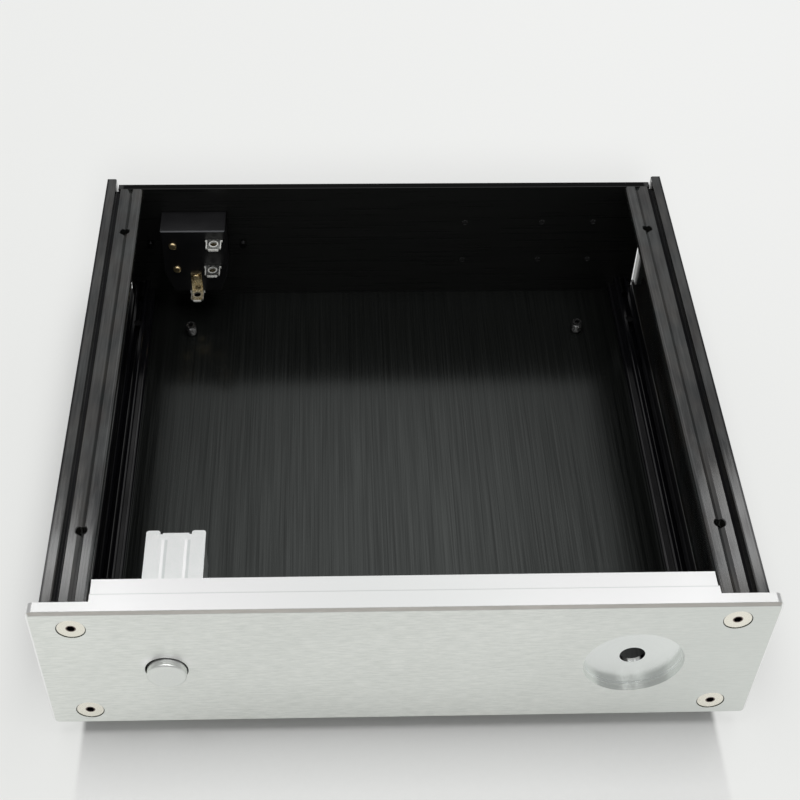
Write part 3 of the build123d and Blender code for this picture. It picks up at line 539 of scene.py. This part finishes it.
def tab_finish(name, tab_x, half_width, brass_low, brass_high, brass_reach, pale=0.7):
    """Tinned blade with painted glints, strong at its tip and shoulders, weaker at its edges and round
    its hole.

    The plate at its root is brass from the height brass_low to brass_high, as far as brass_reach
    beside its middle.
    """
    tab = Surface(name, 1.0)
    mottle = tab.fine_grain(1.4, 1.4, 1.4, detail=4.0, rough=0.6)
    tinned = mottle.colour((0.40, 0.41, 0.39), (0.58, 0.59, 0.56))
    brass = mottle.colour((0.55, 0.36, 0.13), (1.0, 0.86, 0.56))
    beside = abs(tab.x - tab_x)
    in_brass = tab.z.between(brass_low, brass_high, 0.05) * beside.rise(brass_reach + 0.2, brass_reach)
    in_brass = in_brass * tab.y.rise(INLET_FACE_Y - RIVET_STAND - 0.1, INLET_FACE_Y - RIVET_STAND)
    from_hole = (tab.x - tab_x).distance(tab.y - TAB_HOLE_Y)
    ring = from_hole.rise(TAB_HOLE + 0.7, TAB_HOLE + 0.3) * pale
    edge = beside.between(half_width - 0.35, half_width + 0.05, 0.1) * pale
    shoulder = beside.rise(half_width - 0.1, half_width + 0.1)
    # painted highlights: pale glints on the tip, shoulders, edges and round the hole
    painted_glints = tab.y.rise(TAB_TIP_Y + 0.45, TAB_TIP_Y + 0.25).most(shoulder).most(edge).most(ring)
    painted_glints = painted_glints * tab.y.rise(INLET_FACE_Y - 0.6, INLET_FACE_Y - 0.8)
    tab.paint(in_brass.colour(painted_glints.colour(tinned, (0.98, 0.98, 0.95)), brass))
    tab.polish(painted_glints.blend(mottle.blend(0.18, 0.45), 0.85))
    tab.emboss(mottle, 0.0015)
    return tab.material


def foot_screw_finish():
    """Bright zinc, with painted shade in the dimple in each screw's end."""
    zinc = Surface("foot_screw_zinc", 1.0)
    middle_y = (FOOT_Y[0] + FOOT_Y[1]) / 2
    reach_y = (FOOT_Y[1] - FOOT_Y[0]) / 2
    radius = (abs(zinc.x) - FOOT_X).distance(abs(zinc.y - middle_y) - reach_y)
    mottle = zinc.fine_grain(2.0, 2.0, 2.0)
    thread_end = PLATE_TOP + FOOT_THREAD
    dimple = radius.rise(1.15, 0.85) * zinc.z.rise(thread_end, thread_end + 0.2)
    plated = mottle.colour((0.13, 0.13, 0.13), (0.24, 0.24, 0.235))
    # painted shade: near black in the dimple at each screw's end
    zinc.paint(dimple.colour(plated, (0.02, 0.02, 0.02)))
    zinc.polish(mottle.blend(0.18, 0.32))
    zinc.emboss(mottle, 0.004)
    return zinc.material


def fuse_glass():
    """Clear glass tube with a faint unevenness."""
    glass = Surface("fuse_glass", 0.0)
    glass.shader.inputs["Transmission Weight"].default_value = 1.0
    drawn = glass.fine_grain(0.2, 1.5, 1.5)
    glass.paint(drawn.colour((0.93, 0.95, 0.94), (0.98, 0.99, 0.98)))
    glass.polish(drawn.blend(0.02, 0.06))
    return glass.material


def dress(material, *names):
    """Give CAD nodes their material."""
    for name in names:
        for place in NODES[name].material_slots:
            place.material = material


def blade_tabs():
    """Finishes of the three blade tabs inside the case."""
    for name, node, tab_x, tab_z in (
        ("tinned_neutral_tab", "neutral_pin", NEUTRAL_TAB_X, NEUTRAL_TAB_Z),
        ("tinned_load_tab", "fuse_load_tab", LOAD_TAB_X, LOAD_TAB_Z),
    ):
        low, high = tab_z - ROOT_DROP, tab_z - BRASS_START
        dress(tab_finish(name, tab_x, TAB_HALF_WIDTH, low, high, RIVET_REACH), node)
    low, high = EARTH_TAB_Z + BRASS_START, EARTH_TAB_Z + EARTH_ROOT_RISE
    earth = tab_finish(
        "tinned_earth_tab", INLET_X, EARTH_TAB_HALF_WIDTH, low, high, EARTH_ROOT_REACH, pale=0.25
    )
    dress(earth, "earth_pin")


def dress_all():
    """Materials of all the CAD nodes. Returns those of the foot screws and the black screws."""
    foot_screws = foot_screw_finish()
    black = plain_metal(
        "black_oxide_screws", (0.018, 0.018, 0.019), (0.040, 0.040, 0.041), (0.30, 0.45), 3.0
    )
    zinc = plain_metal("switch_screw_zinc", (0.50, 0.50, 0.49), (0.66, 0.66, 0.64), (0.22, 0.36), 2.0)
    brass = plain_metal("stamped_brass", (0.66, 0.46, 0.20), (0.98, 0.82, 0.52), (0.26, 0.42), 1.6)
    tin = plain_metal("tinned_ends", (0.42, 0.43, 0.41), (0.58, 0.59, 0.56), (0.22, 0.36), 1.4)
    rubber = moulded_finish(
        "foot_rubber", (0.010, 0.010, 0.010), (0.020, 0.020, 0.020), (0.60, 0.80), relief=0.02
    )
    switch = moulded_finish(
        "switch_moulding", (0.040, 0.033, 0.028), (0.062, 0.053, 0.045), (0.38, 0.52)
    )
    dress(front_panel_finish(), "front_panel")
    dress(rail_finish(), "left_side_rail", "right_side_rail")
    dress(floor_finish(), "floor_plate")
    dress(back_finish(), "back_panel")
    dress(nickel_head_finish(), "front_panel_screws")
    dress(button_finish(), "power_button")
    dress(foot_screws, "foot_screws")
    dress(black, "back_panel_screws", "floor_plate_screws", "inlet_screws")
    dress(zinc, "switch_screws")
    dress(rubber, "front_left_foot", "front_right_foot", "rear_left_foot", "rear_right_foot")
    dress(inlet_finish(), "inlet_housing", "fuse_drawer")
    dress(brass, "line_pin", "fuse_supply_contact")
    dress(tin, "switch_terminals", "fuse_caps")
    dress(galvanised_finish(), "switch_frame")
    dress(switch, "switch_body", "switch_plunger")
    dress(fuse_glass(), "fuse_tube")
    blade_tabs()
    return foot_screws, black


def on_case(x, y, z):
    """Point of the case, given in mm, in metres in the shared frame."""
    return np.array((x, y + FRONT_FACE_Y, z + LOWER_EDGE_Z)) * MM


def put_mesh(name, points, faces, material, body):
    """Piece from an array of points and a list of faces, riding on a body."""
    mesh = bpy.data.meshes.new(name)
    mesh.from_pydata(points.tolist(), [], faces)
    mesh.materials.append(material)
    mesh.shade_smooth()
    piece = bpy.data.objects.new(name, mesh)
    bpy.context.scene.collection.objects.link(piece)
    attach(piece, body)


def loop_faces(rings, corners, first):
    """Quads between rings of corners that close on themselves, and a face over each end."""
    along, at = np.meshgrid(np.arange(rings - 1), np.arange(corners), indexing="ij")
    beside = (at + 1) % corners
    quads = np.stack(
        (
            along * corners + at,
            along * corners + beside,
            (along + 1) * corners + beside,
            (along + 1) * corners + at,
        ),
        axis=-1,
    ).reshape(-1, 4)
    ends = np.array([np.arange(corners)[::-1], (rings - 1) * corners + np.arange(corners)])
    return np.vstack((quads, ends)) + first


def thread_points(start, axis, core, crest, pitch, length):
    """Helical ridge on a screw.

    Point = start + axis * (pitch * turn + offset) + radius * (cos, sin) of the turn's angle, where
    the four corners of the ridge's section give offset and radius: two roots just inside the core
    and two near the crest. The crest sinks to the core over the first and last half turn.
    """
    axis = np.array(axis, float)
    side = np.cross(axis, (0.0, 0.0, 1.0) if abs(axis[2]) < 0.5 else (1.0, 0.0, 0.0))
    up = np.cross(axis, side)
    steps_per_turn = 20
    turns = length / pitch - 1
    turn = np.linspace(0, turns, int(turns * steps_per_turn) + 1)
    offset = np.array((0.0, 0.42, 0.58, 1.0)) * pitch
    height = np.minimum(1, np.minimum(turn, turns - turn) * 2)[:, None]
    section = np.array((0.0, 1.0, 1.0, 0.0))
    radius = core - 0.02 + (crest - core) * height * section
    angle = 2 * np.pi * turn[:, None]
    along = pitch * turn[:, None] + offset
    return (
        start
        + along[..., None] * MM * axis
        + (radius * np.cos(angle))[..., None] * MM * side
        + (radius * np.sin(angle))[..., None] * MM * up
    )


def threads(name, places, axis, core, crest, pitch, length, material):
    """Threads of a group of like screws, as one piece."""
    points, faces, count = [], [], 0
    for place in places:
        ridge = thread_points(on_case(*place), axis, core, crest, pitch, length)
        rings, corners = ridge.shape[:2]
        faces += loop_faces(rings, corners, count).tolist()
        points.append(ridge.reshape(-1, 3))
        count += rings * corners
    put_mesh(name, np.vstack(points), faces, material, "case")


def screw_threads(foot_screw_material, black_material):
    """Threads that show above the floor plate and inside the back panel."""
    feet = [(side * FOOT_X, y, PLATE_TOP) for side in (-1, 1) for y in FOOT_Y]
    threads(
        "foot_screw_threads", feet, axis=(0, 0, 1), core=2.0, crest=2.4, pitch=0.8,
        length=FOOT_THREAD, material=foot_screw_material,
    )
    start_y = BACK_FACE_Y - INLET_THREAD
    inlet = [(INLET_X + side * INLET_SCREW_X, start_y, MID_Z) for side in (-1, 1)]
    threads(
        "inlet_screw_threads", inlet, axis=(0, 1, 0), core=1.2, crest=1.48, pitch=0.5,
        length=INLET_THREAD, material=black_material,
    )


def ground():
    """Pale paper, large and flat.

    Where no shadow falls in the photograph, the camera sees part of the paper at its own
    brightness. Before the panel, under the case and close behind it, the paper only shows its light
    and shadow.
    """
    half = 3.0
    mesh = bpy.data.meshes.new("ground")
    corners = [(-half, -half, 0), (half, -half, 0), (half, half, 0), (-half, half, 0)]
    mesh.from_pydata(corners, [], [(0, 1, 2, 3)])
    piece = bpy.data.objects.new("ground", mesh)
    bpy.context.scene.collection.objects.link(piece)
    paper = Surface("ground_paper", 0.0)
    fibres = paper.fine_grain(0.4, 0.4, 0.4)
    paper.paint(fibres.colour((0.868, 0.872, 0.862), (0.876, 0.880, 0.870)))
    paper.shader.inputs["Roughness"].default_value = 0.9
    paper.shader.inputs["Specular IOR Level"].default_value = 0.2
    glow = paper.tree.nodes.new("ShaderNodeEmission")
    # painted light: the glow grows brighter toward the back and the right
    toward_back = paper.y.rise(-200.0, 700.0) * 0.8 + paper.x.rise(-260.0, 260.0) * 0.35
    tone = toward_back.colour((0.805, 0.815, 0.795), (0.925, 0.930, 0.920))
    paper.tree.links.new(tone, glow.inputs["Color"])
    ray = paper.tree.nodes.new("ShaderNodeLightPath")
    seen = Reading(paper.tree, ray.outputs["Is Camera Ray"])
    seen = seen.most(Reading(paper.tree, ray.outputs["Is Transmission Ray"]))
    mirrored = Reading(paper.tree, ray.outputs["Is Glossy Ray"])
    before_panel = abs(paper.x).rise(112.5, 110.0) * paper.y.between(-110.0, 60.0, 60.0)
    behind_case = abs(paper.x).rise(150.0, 122.0) * paper.y.rise(0.0, 60.0) * paper.y.rise(350.0, 285.0)
    in_shadow = before_panel.most(behind_case)
    soft_shadow = abs(paper.x).rise(150.0, 50.0) * paper.y.rise(310.0, 290.0)
    share = (seen * (1 - in_shadow)).most(mirrored * (1 - soft_shadow)) * 0.75
    mix = paper.tree.nodes.new("ShaderNodeMixShader")
    paper.tree.links.new(share.socket, mix.inputs["Fac"])
    paper.tree.links.new(paper.shader.outputs["BSDF"], mix.inputs[1])
    paper.tree.links.new(glow.outputs["Emission"], mix.inputs[2])
    surface = paper.tree.nodes["Material Output"].inputs["Surface"]
    paper.tree.links.new(mix.outputs["Shader"], surface)
    mesh.materials.append(paper.material)


def lamp(name, place, aim, size, radiance):
    """Soft rectangular lamp that looks at a point, as bright as a surface of that radiance."""
    data = bpy.data.lights.new(name, "AREA")
    data.shape = "RECTANGLE"
    data.size, data.size_y = size
    data.energy = radiance * np.pi * size[0] * size[1]
    piece = bpy.data.objects.new(name, data)
    piece.location = place
    look = Vector(aim) - Vector(place)
    piece.rotation_euler = look.to_track_quat("-Z", "Y").to_euler()
    piece.visible_camera = False
    bpy.context.scene.collection.objects.link(piece)


def light():
    """Even pale surroundings, two bright soft boxes overhead, a broad dim wall behind, and a small
    box high on each side, whose far edge shows as a step in the gloss of the rail tops."""
    world = bpy.data.worlds.new("surroundings")
    world.use_nodes = True
    background = world.node_tree.nodes["Background"]
    background.inputs["Color"].default_value = (*WHITE, 1)
    background.inputs["Strength"].default_value = 0.42
    bpy.context.scene.world = world
    for name, x, y, height, size, radiance in (
        ("left_soft_box", -0.29, -0.06, 1.25, (0.34, 0.7), 5.6),
        ("right_soft_box", 0.33, -0.06, 1.25, (0.34, 0.7), 5.6),
        ("left_box", -0.356, 0.5325, 0.9, (0.188, 0.085), 2.4),
        ("right_box", 0.485, 0.570, 0.9, (0.23, 0.14), 1.8),
    ):
        lamp(name, place=(x, y, height), aim=(x, y, 0), size=size, radiance=radiance)
    lamp("rear_wall", place=(0.09, 1.25, 1.25), aim=(0, 0, 0), size=(0.7, 0.9), radiance=0.17)
    lamp("rear_wall_middle", place=(0.10, 1.02, 1.46), aim=(0, 0, 0), size=(0.42, 0.6), radiance=0.18)


photo_camera()
screw_threads(*dress_all())
ground()
light()
bpy.context.scene.view_settings.view_transform = "Standard"
